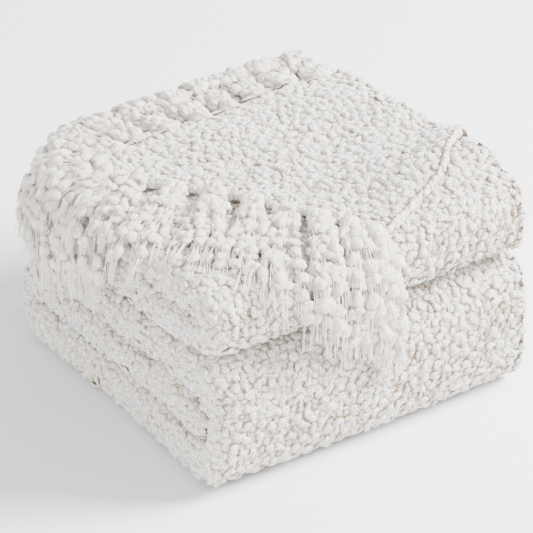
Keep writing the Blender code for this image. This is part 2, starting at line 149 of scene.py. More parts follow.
# Lumps of yarn on the cloth, and the bobbles that they form
PUFF_PITCH = 2.4 * MM
PUFF_TRIANGLES = 40
PIECE_TRIANGLES = 190000
PUFF_ROOM = 4.9 * MM
PUFF_HEIGHT = 2.7 * MM
PUFF_WIDE = 4.4 * MM
BOBBLE_ROOM = 8.6 * MM
BOBBLE_REACH = 6.2 * MM
BOBBLE_HIGH = 1.9 * MM
RIM_SINK = 2 * MM
RIM_PITCH = 4.6 * MM
# From here on the last ply is joined to the flap, so it has no raw edge
JOIN_FROM = 80 * MM
# How far inside its edge the flap hides the ply below, and where its own field of puffs ends
COVERED_IN = 11 * MM
FIELD_IN = 3 * MM

# Tassels: place along the fringed edge in mm, heading in degrees, length and lift in mm
TASSELS = [
    (20, 88, 112, 0), (54, 90, 112, 0), (89, 91, 113, 0), (121, 92, 114, 0), (153, 95, 113, 0),
    (186, 98, 113, 0), (218, 102, 112, 0), (246, 116, 112, 0), (271, 143, 116, 0),
    (300, 178, 124, 0), (335, 200, 124, 0), (370, 216, 116, 1), (404, 228, 112, 1),
    (439, 231, 116, 0), (471, 228, 122, 0), (503, 236, 132, 2), (532, 247, 122, 0),
    (556, 258, 120, 1),
]
# Yarns of a tassel: place across its knot and lift over the lowest ones, in mm
YARNS = [(-11, 0), (-5.5, 0), (0, 0), (5.5, 0), (11, 0), (-8, 2.2), (-2.7, 2.6), (2.7, 2.6), (8, 2.2)]
CLUSTER = [(-9, 5), (-3, 6), (3, 6), (9, 5)]
# Places of the puffs in one tier of a yarn, and the length of a tier with its bare threads, in mm
TIER_PUFFS = (0, 11)
TIER = 30
NODE_TASSELS = {
    "tassels_back": (0, 8), "tassels_corner": (8, 12), "tassels_side": (12, 15),
    "tassels_front": (15, 18),
}
# Tassels that have the cluster's yarns too
CLUSTERED = (8, 9, 10)
LOCK_SQUARE = 2.4
YARN_LIFT = 1.6 * MM
ROOT_LIFT = 2.6 * MM
ROOT_FADE = 15 * MM
# Length of a yarn's path over that of its puffs
LOOSE = 1.12
# Share of their spread that yarns have at the knot, its width in mm, and how soon they part
KNOT = 0.5
KNOT_WIDE = 24
PART_OVER = 16 * MM
THREADS = 4
THREAD_RADIUS = 0.32 * MM
YARN_STEPS = 26
# Sides that yarns hang down: heading in degrees, distance, and the edge's size across and down
WALLS = [
    (180, LENGTH / 2 + 15.5 * MM, 34 * MM, 46 * MM),
    (270, WIDTH / 2 + 10 * MM, 50 * MM, 44 * MM),
    (90, WIDTH / 2 + 9 * MM, 14 * MM, 16 * MM),
]

# Camera, from the photo: angles in degrees, way off, aim, and its frame in pixels
CAMERA_TURN = -34.317
CAMERA_RISE = 30.582
CAMERA_AWAY = 2.4
CAMERA_AIM = np.array([0, 0, 95]) * MM + SHIFT
PHOTO_SIDE = 533
PIXELS_A_METRE = 1147.583
PHOTO_SHIFT = (-4.425, -1.475)
SENSOR = 36

chance = np.random.default_rng(7)


def eased(share):
    """A share held between 0 and 1, with a soft start and end."""
    share = np.clip(share, 0, 1)
    return share * share * (3 - 2 * share)


def height_of(line, x, y):
    """Height of a line between bands: a level, one slow wave each way, rises at front and right."""
    level, lift_x, lift_y, rise, right_rise = LINES[line]
    wave = lift_x * np.sin(WAVE_X * x) + lift_y * np.cos(WAVE_Y * y)
    front = eased((RISE_FROM - y) / RISE_OVER)
    hump = np.exp(-((y - HUMP_AT) / HUMP_WIDE) ** 2)
    right = (eased((x - RIGHT_FROM) / RIGHT_OVER) * eased((y - RIGHT_START) / RIGHT_FADE)
             * (RIGHT_SHARE * eased((RIGHT_END - y) / RIGHT_FADE) + (1 - RIGHT_SHARE) * hump))
    return level + wave + rise * front + right_rise * right


def squared_arc(turn, power):
    """Unit point of a squared circle at an angle: powers above 2 make it boxier."""
    out = np.abs(np.cos(turn)) ** (2 / power)
    up = np.sign(np.sin(turn)) * np.abs(np.sin(turn)) ** (2 / power)
    return out, up


def fold_start(fold):
    """Place along y at which a fold begins: its furthest point less its depth."""
    return FOLDS[fold][5] - FOLDS[fold][4] * FOLDS[fold][6]


def slump(points):
    """Rounds the back left corner in plan: its square turns into a quarter circle towards the top."""
    x, y, z = np.moveaxis(points, -1, 0)
    across = np.clip(1 - (x - LEFT) / SLUMP_REACH, 0, None)
    along = np.clip(1 - (BACK - y) / SLUMP_REACH, 0, None)
    outmost = np.maximum(across, along)
    length = np.maximum(np.hypot(across, along), 1e-9)
    share = np.clip((z - SLUMP_LOW) / (SLUMP_HIGH - SLUMP_LOW), 0, 1)
    pull = np.where((across > 0) & (along > 0), outmost / length, 1) ** (share * outmost)
    x = np.where(across > 0, LEFT + SLUMP_REACH * (1 - across * pull), x)
    y = np.where(along > 0, BACK - SLUMP_REACH * (1 - along * pull), y)
    return np.stack([x, y, z], axis=-1)


def settle(points):
    """Moves the sides as soft cloth lies: round upright corners and pack edges, a full lower front."""
    x, y, z = np.moveaxis(points, -1, 0)
    seam = LINES["seam"][0] + LINES["seam"][3]
    top = LINES["top"][0]
    lower = np.clip((seam + SEAM_BLEND / 2 - z) / SEAM_BLEND, 0, 1)
    pack = np.where(z < seam, z / seam, (z - seam) / (top - seam))
    bow = 1 - np.sqrt(np.clip(1 - (2 * pack - 1) ** 2, 0, 1))
    bow = bow * np.where((z > seam) & (pack > 0.5), TOP_SHARE, 1)
    front_room = 1 - np.clip(y - FRONT, 0, CORNER_ROOM) / CORNER_ROOM
    back_room = 1 - np.clip(BACK - y, 0, CORNER_ROOM) / CORNER_ROOM
    corner = (FRONT_CORNER * (1 - np.sqrt(1 - front_room ** 2))
              + BACK_CORNER * (1 - np.sqrt(1 - back_room ** 2)))
    base = BASE_SET_IN * np.clip(1 - z / BASE_HEIGHT, 0, 1) * np.clip(y / BACK, 0, 1)
    right = np.clip((x - RIGHT + SIDE_REACH) / SIDE_REACH, 0, 1)
    left = np.clip((LEFT + SIDE_REACH - x) / SIDE_REACH, 0, 1)
    ripple = 2.0 * MM * np.sin(24 * y + 40 * z + 1.0) + 1.5 * MM * np.sin(61 * z - 15 * y)
    towards = np.clip(-4 * y / WIDTH - 1, 0, 1)
    belly = FRONT_BELLY * np.cos(BELLY_TURN * (x - BELLY_MIDDLE)) * towards
    x = x - right ** 2 * (PACK_ROUND * bow + corner + UPPER_SET_IN * (1 - lower))
    x = x + left ** 2 * (LEFT_SHARE * corner + LEFT_SET_IN + base + ripple)
    return slump(np.stack([x, y - belly * lower, z], axis=-1))


def strip_midline():
    """Middle line of the four plies as length along it, x and share of the strip's thickness.

    From a raw edge as ply 3 at the right, round the inner left fold into ply 2, round the right
    fold into ply 1, round the outer left fold into ply 4 and to its raw edge at the right.
    Each fold is a half turn of a squared circle.
    """
    fold = LEFT + EDGE_BULGE
    inner = (EDGE_BULGE - CLOTH - GAP / 2) / 2
    turn = np.linspace(-math.pi / 2, math.pi / 2, 41)

    def half_turn(centre_x, side, centre_v, across, up, square):
        out, rise = squared_arc(turn, square)
        return np.column_stack([centre_x + side * across * out, centre_v + up * rise])

    inner_fold = half_turn(fold, -1, 2 * PITCH, inner, PITCH / 2, 2)[::-1]
    right_fold = half_turn(TURN, 1, PITCH, CLOTH / 2, PITCH / 2, 2)[::-1]
    outer_fold = half_turn(fold, -1, 2 * PITCH, EDGE_BULGE - CLOTH / 2, 1.5 * PITCH, EDGE_SQUARE)
    line = np.vstack([[[RAW_EDGE, 2.5 * PITCH]], inner_fold, right_fold, outer_fold,
                      [[RAW_EDGE, 3.5 * PITCH]]])
    length = np.insert(np.cumsum(np.linalg.norm(np.diff(line, axis=0), axis=1)), 0, 0)
    marks = {"inner": (length[1], length[41]), "right": (length[42], length[82]),
             "outer": (length[83], length[123]), "end": length[-1]}
    return length, line[:, 0], (line[:, 1] - GAP / 2) / (STRIP - GAP), marks


def leg_point(name, at, x, share):
    """A point of one leg of the strip's path: at is y in a band, and the turn in a fold or the nose."""
    if name == "nose":
        start = fold_start("lower_front")
        out, rise = squared_arc(at, NOSE_SQUARE)
        bottom = height_of("low", x, start) + GAP / 2
        top = height_of("middle", x, start) - GAP / 2
        y = start - (FOLDS["lower_front"][7] - NOSE_SET_IN) * out
        z = (bottom + top) / 2 + (top - bottom) * rise * (share - 0.5)
        return np.stack(np.broadcast_arrays(x, y, z), axis=-1)
    if name in BANDS:
        below, above, outer_up = BANDS[name]
        lower = height_of(below, x, at) + (0 if below == "floor" else GAP / 2)
        upper = height_of(above, x, at) - GAP / 2
        part = share if outer_up else 1 - share
        return np.stack([x, at, lower + (upper - lower) * part], axis=-1)
    low, high, in_low, in_high, way, _, depth, inner_depth, low_power, high_power = FOLDS[name]
    start = fold_start(name)
    out, rise = squared_arc(at, np.where(at < 0, low_power, high_power))
    bottom = height_of(low, x, start) + (0 if low == "floor" else GAP / 2)
    top = height_of(high, x, start) - GAP / 2
    inner_bottom = height_of(in_low, x, start) - GAP / 2
    inner_top = height_of(in_high, x, start) + GAP / 2
    outer = np.stack([x, start + way * depth * out, (bottom + top) / 2 + (top - bottom) / 2 * rise], axis=-1)
    inner = np.stack([x, start + way * inner_depth * out,
                      (inner_bottom + inner_top) / 2 + (inner_top - inner_bottom) / 2 * rise], axis=-1)
    part = (1 - share if name == "upper_back" else share)[..., None]
    return inner + (outer - inner) * part


HALF_TURN = math.pi / 2
LEGS = [
    ("nose", math.radians(12), HALF_TURN),
    ("inside", fold_start("lower_front"), fold_start("lower_back")),
    ("lower_back", HALF_TURN, -HALF_TURN),
    ("bottom", fold_start("lower_back"), fold_start("lower_front")),
    ("lower_front", -HALF_TURN, HALF_TURN),
    ("third", fold_start("lower_front"), fold_start("upper_back")),
    ("upper_back", -HALF_TURN, HALF_TURN),
    ("fourth", fold_start("upper_back"), fold_start("upper_front")),
    ("upper_front", -HALF_TURN, HALF_TURN),
    ("last", fold_start("upper_front"), LAST_END),
]


def path_table():
    """Length along the strip's path, on its outer side at x = 0, for a fine list of places.

    A place is the leg's number plus the share of the leg, so 3.5 is half way round leg 3.
    """
    places, lengths, total = [], [], 0
    starts = []
    for number, (name, start, end) in enumerate(LEGS):
        share = np.linspace(0, 1, 241)
        outside = 0.0 if name == "upper_back" else 1.0
        line = leg_point(name, start + (end - start) * share, np.zeros(241), np.full(241, outside))
        step = np.insert(np.cumsum(np.linalg.norm(np.diff(line, axis=0), axis=1)), 0, 0)
        starts.append(total)
        places.append(number + np.minimum(share, 1 - 1e-9))
        lengths.append(total + step)
        total += step[-1]
    names = [leg[0] for leg in LEGS]
    return np.concatenate(lengths), np.concatenate(places), names, np.array(starts + [total])


ACROSS, ACROSS_X, ACROSS_SHARE, MARKS = strip_midline()
ALONG, ALONG_PLACE, LEG_NAMES, LEG_AT = path_table()


def leg_ends(name):
    """Lengths along the path at which a leg starts and ends."""
    number = LEG_NAMES.index(name)
    return LEG_AT[number], LEG_AT[number + 1]


def cloth_point(s, t):
    """The folded strip's middle surface at a length across the cloth and a length along it."""
    s, t = np.broadcast_arrays(np.asarray(s, float), np.asarray(t, float))
    x = np.interp(s, ACROSS, ACROSS_X)
    share = np.interp(s, ACROSS, ACROSS_SHARE)
    place = np.interp(t, ALONG, ALONG_PLACE)
    number = place.astype(int)
    points = np.empty(s.shape + (3,))
    for i, (name, start, end) in enumerate(LEGS):
        here = number == i
        if here.any():
            points[here] = leg_point(name, start + (end - start) * (place[here] - i), x[here], share[here])
    return settle(points)


def top_surface(x, y):
    """Height of the stack's top, which turns down over the upper front fold."""
    depth, power = FOLDS["upper_front"][6], FOLDS["upper_front"][9]
    start = fold_start("upper_front")
    reach = np.maximum(y, start)
    bottom = height_of("seam", x, reach) + GAP / 2
    top = height_of("top", x, reach) - GAP / 2
    out = np.clip((start - y) / depth, 0, 0.999)
    return (bottom + top) / 2 + (top - bottom) / 2 * (1 - out ** power) ** (1 / power)


def flap_point(x, y, lift):
    """The loose flap: a distance from the stack's top, square to its slope, higher at its tip.

    Soft swells run over it: sums of slow waves, 1.6 mm high in all.
    """
    x, y, lift = np.broadcast_arrays(np.asarray(x, float), np.asarray(y, float), np.asarray(lift, float))
    away = np.hypot(x - CORNER_SPOT[0], y - CORNER_SPOT[1]) / CORNER_REACH
    swell = (0.9 * MM * np.sin(52 * x + 31 * y + 0.6) + 0.7 * MM * np.sin(83 * y - 47 * x + 2.1))
    lift = lift + (CORNER_LIFT * np.exp(-away ** 2) + swell) * (lift > 0)
    slope = (top_surface(x, y + NUDGE) - top_surface(x, y - NUDGE)) / (2 * NUDGE)
    length = np.sqrt(1 + slope ** 2)
    return settle(np.stack([x, y - slope / length * lift, top_surface(x, y) + lift / length], axis=-1))


def smooth_line(points, count):
    """A smooth line through points, as positions and unit directions at even distances."""
    points = np.array(points) * MM
    ends = np.vstack([2 * points[0] - points[1], points, 2 * points[-1] - points[-2]])
    t = np.linspace(0, 1, 12, endpoint=False)[:, None]
    spans = []
    for a, b, c, d in zip(ends, ends[1:], ends[2:], ends[3:]):
        spans.append(0.5 * (2 * b + (c - a) * t + (2 * a - 5 * b + 4 * c - d) * t ** 2
                            + (3 * b - a - 3 * c + d) * t ** 3))
    dense = np.vstack(spans + [points[-1:]])
    distance = np.insert(np.cumsum(np.linalg.norm(np.diff(dense, axis=0), axis=1)), 0, 0)
    even = np.linspace(0, distance[-1], count)
    line = np.column_stack([np.interp(even, distance, dense[:, i]) for i in range(2)])
    way = np.gradient(line, axis=0)
    return line, way / np.linalg.norm(way, axis=1)[:, None], distance[-1]


def unit(rows):
    """Rows of vectors brought to length 1."""
    return rows / np.maximum(np.linalg.norm(rows, axis=-1, keepdims=True), 1e-12)


def add_mesh(name, vertices, faces, material, values=None):
    """An object from whole arrays: vertices, and faces of three or four corners each."""
    mesh = bpy.data.meshes.new(name)
    mesh.vertices.add(len(vertices))
    mesh.vertices.foreach_set("co", (vertices + SHIFT).astype(np.float32).ravel())
    corners = np.concatenate([f.ravel() for f in faces])
    sizes = np.concatenate([np.full(len(f), f.shape[1]) for f in faces])
    mesh.loops.add(len(corners))
    mesh.loops.foreach_set("vertex_index", corners.astype(np.int32))
    mesh.polygons.add(len(sizes))
    mesh.polygons.foreach_set("loop_start", np.insert(np.cumsum(sizes), 0, 0)[:-1].astype(np.int32))
    mesh.polygons.foreach_set("use_smooth", np.ones(len(sizes), dtype=bool))
    mesh.update(calc_edges=True)
    for key, data in (values or {}).items():
        if data.ndim == 1:
            mesh.attributes.new(key, "FLOAT", "POINT").data.foreach_set("value", data.astype(np.float32))
        else:
            rows = mesh.attributes.new(key, "FLOAT_VECTOR", "POINT").data
            rows.foreach_set("vector", data.astype(np.float32).ravel())
    mesh.materials.append(material)
    piece = bpy.data.objects.new(name, mesh)
    bpy.context.scene.collection.objects.link(piece)
    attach(piece, "root")
    return piece


def sheet_mesh(name, middle, normal, material):
    """Closed thin cloth: a grid of points moved half the thickness each way, joined round its rim."""
    rows, columns = middle.shape[:2]
    upper = (middle + normal * SHEET / 2).reshape(-1, 3)
    lower = (middle - normal * SHEET / 2).reshape(-1, 3)
    index = np.arange(rows * columns).reshape(rows, columns)
    quads = np.stack([index[:-1, :-1], index[1:, :-1], index[1:, 1:], index[:-1, 1:]], axis=-1).reshape(-1, 4)
    rim = np.concatenate([index[0, :-1], index[:-1, -1], index[-1, :0:-1], index[:0:-1, 0]])
    after = np.roll(rim, -1)
    offset = rows * columns
    sides = np.column_stack([rim, after, after + offset, rim + offset])
    faces = [quads[:, ::-1], quads + offset, sides]
    return add_mesh(name, np.vstack([upper, lower]), faces, material)


def puff_mesh(name, centre, normal, along, wide, high, material, rise_share, rings=(34, 68, 104), around=8):
    """Joined puffs: each one a dome with soft lumps round it.

    A dome's point at angle p from its top and angle a round it is (sin p cos a, sin p sin a,
    cos p), times 1 + small waves in a with the puff's own phases + a little chance. tip sets
    painted shade: it runs from 0, darkest, at the foot of a low dome to 1, palest, at the top of a
    high one, lower on cloth that faces the front and higher on cloth that faces the left.
    """
    count = len(centre)
    normal, along = unit(normal), unit(along - normal * np.sum(along * normal, axis=1)[:, None])
    beside = np.cross(normal, along)
    p = np.radians(np.insert(np.repeat(rings, around), 0, 0))
    a = np.insert(np.tile(np.arange(around) * 2 * math.pi / around, len(rings)), 0, 0)
    phase = chance.uniform(0, 2 * math.pi, (4, count, 1))
    lump = (1 + 0.11 * np.sin(2 * a + phase[0]) + 0.10 * np.sin(3 * a + phase[1])
            + 0.07 * np.sin(5 * a + phase[2]) * np.sin(p))
    rise = 1 + 0.16 * np.sin(a + phase[3]) * np.sin(p) + 0.10 * np.sin(3 * a + phase[1]) * np.sin(p)
    lump = lump + chance.normal(0, 0.05, lump.shape)
    rise = rise + chance.normal(0, 0.09, rise.shape)
    x = np.sin(p) ** 0.9 * np.cos(a) * lump * wide[:, :1]
    y = np.sin(p) ** 0.9 * np.sin(a) * lump * wide[:, 1:]
    z = np.sign(np.cos(p)) * np.abs(np.cos(p)) ** 0.8 * rise * high[:, None]
    points = (centre[:, None] + along[:, None] * x[..., None] + beside[:, None] * y[..., None]
              + normal[:, None] * z[..., None])
    points[..., 2] = np.maximum(points[..., 2], 0.2 * MM)
    step = np.arange(around)
    after = (step + 1) % around
    fan = np.column_stack([np.zeros(around, int), 1 + step, 1 + after])
    bands = np.vstack([np.column_stack([1 + r * around + step, 1 + (r + 1) * around + step,
                                        1 + (r + 1) * around + after, 1 + r * around + after])
                       for r in range(len(rings) - 1)])
    size = 1 + around * len(rings)
    start = (np.arange(count) * size)[:, None, None]
    # tip is painted shade: darker at the feet between puffs and on front faces, paler on high bobble tops and
    # on left faces
    faces_front, faces_left = np.clip(-normal[:, 1:2], 0, 1), np.clip(-normal[:, :1], 0, 1)
    tip = (0.72 * np.clip((np.cos(p) + 0.35) / 1.35, 0, 1) + 0.3 * rise_share[:, None]
           - 0.18 * faces_front + 0.08 * faces_left).ravel()
    tone = np.repeat(chance.uniform(0, 1, count), size)
    faces = [(fan[None] + start).reshape(-1, 3), (bands[None] + start).reshape(-1, 4)]
    return add_mesh(name, points.reshape(-1, 3), faces, material, {"tip": tip, "tone": tone})


def thinned(points, room):
    """Which points to keep so that none lies nearer than room to one kept before it."""
    kept = np.ones(len(points), dtype=bool)
    cell = np.floor(points / room).astype(np.int64)
    key = (cell[:, 0] * 4096 + cell[:, 1]) * 4096 + cell[:, 2]
    order = np.argsort(key, kind="stable")
    sorted_key = key[order]
    steps = [(i * 4096 + j) * 4096 + k for i in (-1, 0, 1) for j in (-1, 0, 1) for k in (-1, 0, 1)]
    for i in range(len(points)):
        if not kept[i]:
            continue
        for step in steps:
            low = np.searchsorted(sorted_key, key[i] + step, "left")
            high = np.searchsorted(sorted_key, key[i] + step, "right")
            near = order[low:high]
            near = near[(near > i) & kept[near]]
            if len(near):
                kept[near[np.linalg.norm(points[near] - points[i], axis=1) < room]] = False
    return kept


def inside_outline(x, y, outline):
    """Whether points in plan lie inside a closed outline: an odd number of crossings to one side."""
    inside = np.zeros(np.shape(x), dtype=bool)
    for (ax, ay), (bx, by) in zip(outline, np.roll(outline, -1, axis=0)):
        if ay == by:
            continue
        crosses = (ay > y) != (by > y)
        inside ^= crosses & (x < ax + (y - ay) / (by - ay) * (bx - ax))
    return inside


def cloth_material(name, tip_colour, painted_foot_shade, grain_and_shade_scale, strands):
    """Yarn colour that runs from painted shade at a puff's foot to its pale top, its own tone, and
    fine specks of painted shade for the small shadows of short fibres.

    Wide noise makes the painted shade in the cracks dark in some places and pale in others. With
    strands, the specks and the bump run lengthwise by each puff's own strand attribute.
    """
    material = bpy.data.materials.new(name)
    material.use_nodes = True
    nodes, links = material.node_tree.nodes, material.node_tree.links
    shader = nodes["Principled BSDF"]
    shader.inputs["Roughness"].default_value = 0.95
    shader.inputs["Specular IOR Level"].default_value = 0.1
    shader.inputs["Sheen Weight"].default_value = 0.25
    shader.inputs["Sheen Roughness"].default_value = 0.6
    place = nodes.new("ShaderNodeTexCoord")

    def attribute(key):
        node = nodes.new("ShaderNodeAttribute")
        node.attribute_name = key
        return node

    def noise(scale, detail, source):
        node = nodes.new("ShaderNodeTexNoise")
        node.inputs["Scale"].default_value = scale
        node.inputs["Detail"].default_value = detail
        node.inputs["Roughness"].default_value = 0.6
        links.new(source, node.inputs["Vector"])
        return node.outputs["Fac"]

    def ramp(source, low, high, low_colour, high_colour):
        node = nodes.new("ShaderNodeValToRGB")
        stops = zip(node.color_ramp.elements, (low, high), (low_colour, high_colour))
        for element, position, colour in stops:
            element.position = position
            element.color = (*colour, 1)
        links.new(source, node.inputs["Fac"])
        return node.outputs["Color"]

    def mix(kind, factor, first, second):
        node = nodes.new("ShaderNodeMix")
        node.data_type = "RGBA"
        node.blend_type = kind
        if isinstance(factor, float):
            node.inputs["Factor"].default_value = factor
        else:
            links.new(factor, node.inputs["Factor"])
        links.new(first, node.inputs["A"])
        if isinstance(second, tuple):
            node.inputs["B"].default_value = (*second, 1)
        else:
            links.new(second, node.inputs["B"])
        return node.outputs["Result"]

    where = place.outputs["Object"]
    # Painted shade: wide noise plus each puff's tip picks between the dark shade colour at the feet and the
    # yarn's pale top
    shift = nodes.new("ShaderNodeMath")
    shift.operation = "MULTIPLY_ADD"
    shift.inputs[1].default_value = 0.7
    links.new(noise(38, 2, where), shift.inputs[0])
    links.new(attribute("tip").outputs["Fac"], shift.inputs[2])
    colour = ramp(shift.outputs["Value"], 0.62, 0.88, painted_foot_shade, tip_colour)
    colour = mix("MULTIPLY", attribute("tone").outputs["Fac"], colour, (0.965, 0.95, 0.92))
    fine = noise(5.5, 3, attribute("strand").outputs["Vector"]) if strands else noise(grain_and_shade_scale, 3, where)
    # Painted shade: dark specks stand for the small shadows between short fibres; the same noise also makes
    # the bump
    painted_fibre_shade = ramp(fine, 0.42, 0.56, (0.74, 0.62, 0.50) if strands else (0.38, 0.32, 0.26), (1, 1, 1))
    colour = mix("MULTIPLY", 0.7, colour, painted_fibre_shade)
    links.new(colour, shader.inputs["Base Color"])
    bump = nodes.new("ShaderNodeBump")
    bump.inputs["Strength"].default_value = 1.0
    bump.inputs["Distance"].default_value = 2.5 * MM
    links.new(fine, bump.inputs["Height"])
    links.new(bump.outputs["Normal"], shader.inputs["Normal"])
    return material


def base_material():
    """The backing between the puffs: beige darkened as painted shade of the crevices where it shows, darker
    still between its crossing threads, which are also bump.
    """
    material = bpy.data.materials.new("backing_threads")
    material.use_nodes = True
    nodes, links = material.node_tree.nodes, material.node_tree.links
    shader = nodes["Principled BSDF"]
    shader.inputs["Roughness"].default_value = 0.95
    shader.inputs["Specular IOR Level"].default_value = 0.1
    place = nodes.new("ShaderNodeTexCoord")
    threads = nodes.new("ShaderNodeTexVoronoi")
    threads.inputs["Scale"].default_value = 420
    links.new(place.outputs["Object"], threads.inputs["Vector"])
    # Painted shade: both beiges stand for the crevices' shade, the darker one for the deeper shade between
    # threads
    ramp = nodes.new("ShaderNodeValToRGB")
    ramp.color_ramp.elements[0].color = (0.74, 0.66, 0.57, 1)
    ramp.color_ramp.elements[1].position = 0.8
    ramp.color_ramp.elements[1].color = (0.52, 0.43, 0.34, 1)
    links.new(threads.outputs["Distance"], ramp.inputs["Fac"])
    links.new(ramp.outputs["Color"], shader.inputs["Base Color"])
    bump = nodes.new("ShaderNodeBump")
    bump.inputs["Strength"].default_value = 0.8
    bump.inputs["Distance"].default_value = 0.8 * MM
    links.new(threads.outputs["Distance"], bump.inputs["Height"])
    links.new(bump.outputs["Normal"], shader.inputs["Normal"])
    return material


# The second colour of each is painted shade at the puffs' feet and ends; the first is the yarn's own pale
# colour
IVORY = cloth_material("ivory_puffs", (0.95, 0.94, 0.905), (0.46, 0.35, 0.26), 600, False)
CREAM = cloth_material("cream_tassel_yarn", (0.98, 0.955, 0.905), (0.64, 0.48, 0.35), 600, True)
BACKING = base_material()


def grid_normals(points):
    """Unit normals of a grid of points, from its differences each way."""
    return unit(np.cross(np.gradient(points, axis=1), np.gradient(points, axis=0)))


def strip_columns():
    """Places across the cloth: close in the folds, wide along the plies."""
    inner, right, outer, end = MARKS["inner"], MARKS["right"], MARKS["outer"], MARKS["end"]
    parts = [np.linspace(0, inner[0], 30)[:-1], np.linspace(*inner, 7)[:-1],
             np.linspace(inner[1], right[0], 30)[:-1], np.linspace(*right, 7)[:-1],
             np.linspace(right[1], outer[0], 34)[:-1], np.linspace(*outer, 15)[:-1],
             np.linspace(outer[1], end, 40)]
    return np.concatenate(parts)


def strip_cloth(name, first, last):
    """Thin cloth of some legs of the strip's path."""
    rows = []
    for i in range(first, last):
        count = 24 if LEG_NAMES[i] in BANDS else 20
        rows.append(np.linspace(LEG_AT[i], LEG_AT[i + 1], count, endpoint=False))
    t = np.append(np.concatenate(rows), LEG_AT[last])
    s = strip_columns()
    middle = cloth_point(s[None], t[:, None])
    piece = sheet_mesh(name, middle, grid_normals(middle), BACKING)
    return piece, (MARKS["end"], LEG_AT[last] - LEG_AT[first])


def flap_outline():
    """The flap's edge in plan: the fringed edge and the selvedge, at even distances."""
    fringe, way, _ = smooth_line(FRINGE_EDGE, 120)
    fringe = fringe - np.column_stack([way[:, 1], -way[:, 0]]) * RIM_SET_IN
    selvedge, _, _ = smooth_line([tuple(fringe[-1] / MM)] + SELVEDGE, 40)
    return np.vstack([fringe, selvedge[1:]])


def flap_cloth():
    """Thin cloth of the flap: straight lines from its right side to its edge, and the curl there."""
    edge = flap_outline()
    right = np.column_stack([np.full(len(edge), TURN), np.linspace(edge[0, 1], edge[-1, 1], len(edge))])
    share = np.linspace(0, 1, 56)[None, :, None]
    flat = right[:, None] + (edge - right)[:, None] * share
    turn = np.linspace(math.pi, 0, 9)[:-1]
    curl_x = np.broadcast_to(TURN + CURL * np.sin(turn), (len(edge), 8))
    curl_y = np.broadcast_to(right[:, 1:], (len(edge), 8))
    curl_lift = np.broadcast_to(FLAP_LIFT - CURL + CURL * np.cos(turn), (len(edge), 8))
    x = np.concatenate([curl_x, flat[..., 0]], axis=1)
    y = np.concatenate([curl_y, flat[..., 1]], axis=1)
    lift = np.concatenate([curl_lift, np.full(flat.shape[:2], FLAP_LIFT)], axis=1)
    middle = flap_point(x, y, lift)
    piece = sheet_mesh("flap_cloth", middle, grid_normals(middle), BACKING)
    return piece


def jittered(low_u, high_u, low_v, high_v, pitch):
    """Close rows of places, each moved at random, in random order."""
    u, v = np.meshgrid(np.arange(low_u, high_u, pitch), np.arange(low_v, high_v, pitch))
    order = chance.permutation(u.size)
    u, v = u.ravel()[order], v.ravel()[order]
    return u + chance.uniform(0, pitch, u.size), v + chance.uniform(0, pitch, u.size)


def strip_puffs(outline):
    """Centres, normals and directions of the puffs on what shows of the folded strip."""
    s, t = jittered(0, MARKS["end"], 0, LEG_AT[-1], PUFF_PITCH)
    keep = (s > 0) & (s < MARKS["end"]) & (t > 0) & (t < LEG_AT[-1])
    s, t = s[keep], t[keep]
    leg = np.clip(np.searchsorted(LEG_AT, t, "right") - 1, 0, len(LEGS) - 1)
    name = np.array(LEG_NAMES)[leg]
    room = 9 * MM
    near_fold = (s > MARKS["outer"][0] - 4 * MM) & (s < MARKS["outer"][1] + 4 * MM)
    near_right = (s > MARKS["right"][0] - 2 * MM) & (s < MARKS["right"][1] + 2 * MM)
    fourth_ply = s > MARKS["outer"][1]
    first_ply = (s > MARKS["right"][1]) & (s < MARKS["outer"][0])
    round_front = np.isin(name, ["lower_back", "lower_front", "upper_front", "last"])
    show = near_fold | near_right | (fourth_ply & round_front) | (first_ply & (name == "upper_back"))
    for fold, ply in (("lower_back", fourth_ply), ("lower_front", fourth_ply),
                      ("upper_front", fourth_ply), ("upper_back", first_ply)):
        start, end = leg_ends(fold)
        show |= ply & (t > start - room) & (t < end + room)
    s, t, name = s[show], t[show], name[show]
    point = cloth_point(s, t)
    plan_x, plan_y = point[:, 0], point[:, 1]
    shrunk = outline + unit(outline.mean(axis=0) - outline) * COVERED_IN
    covered = (name == "last") & (s > MARKS["outer"][1]) & inside_outline(plan_x, plan_y, shrunk)
    s, t = s[~covered], t[~covered]
    across = cloth_point(s + NUDGE, t) - cloth_point(s - NUDGE, t)
    along = cloth_point(s, t + NUDGE) - cloth_point(s, t - NUDGE)
    return cloth_point(s, t), unit(np.cross(across, along)), unit(along)


def rim_puffs():
    """Puffs along the raw edges at the right and along the strip's end at the back."""
    t = np.arange(2 * MM, LEG_AT[-1], RIM_PITCH)
    joined = t > leg_ends("last")[0] + JOIN_FROM
    sets = []
    for s, way in ((NUDGE, -1), (MARKS["end"] - NUDGE, 1)):
        at = t if way < 0 else t[~joined]
        point = cloth_point(s, at)
        out = way * unit(cloth_point(s + NUDGE, at) - cloth_point(s - NUDGE, at))
        along = unit(cloth_point(s, at + NUDGE) - cloth_point(s, at - NUDGE))
        sets.append((point - out * RIM_SINK, out, along))
    s = np.arange(2 * MM, MARKS["end"], RIM_PITCH)
    t_end = LEG_AT[-1] - NUDGE
    out = unit(cloth_point(s, t_end) - cloth_point(s, t_end - NUDGE))
    sets.append((cloth_point(s, t_end) - out * RIM_SINK, out,
                 unit(cloth_point(s + NUDGE, t_end) - cloth_point(s - NUDGE, t_end))))
    return sets


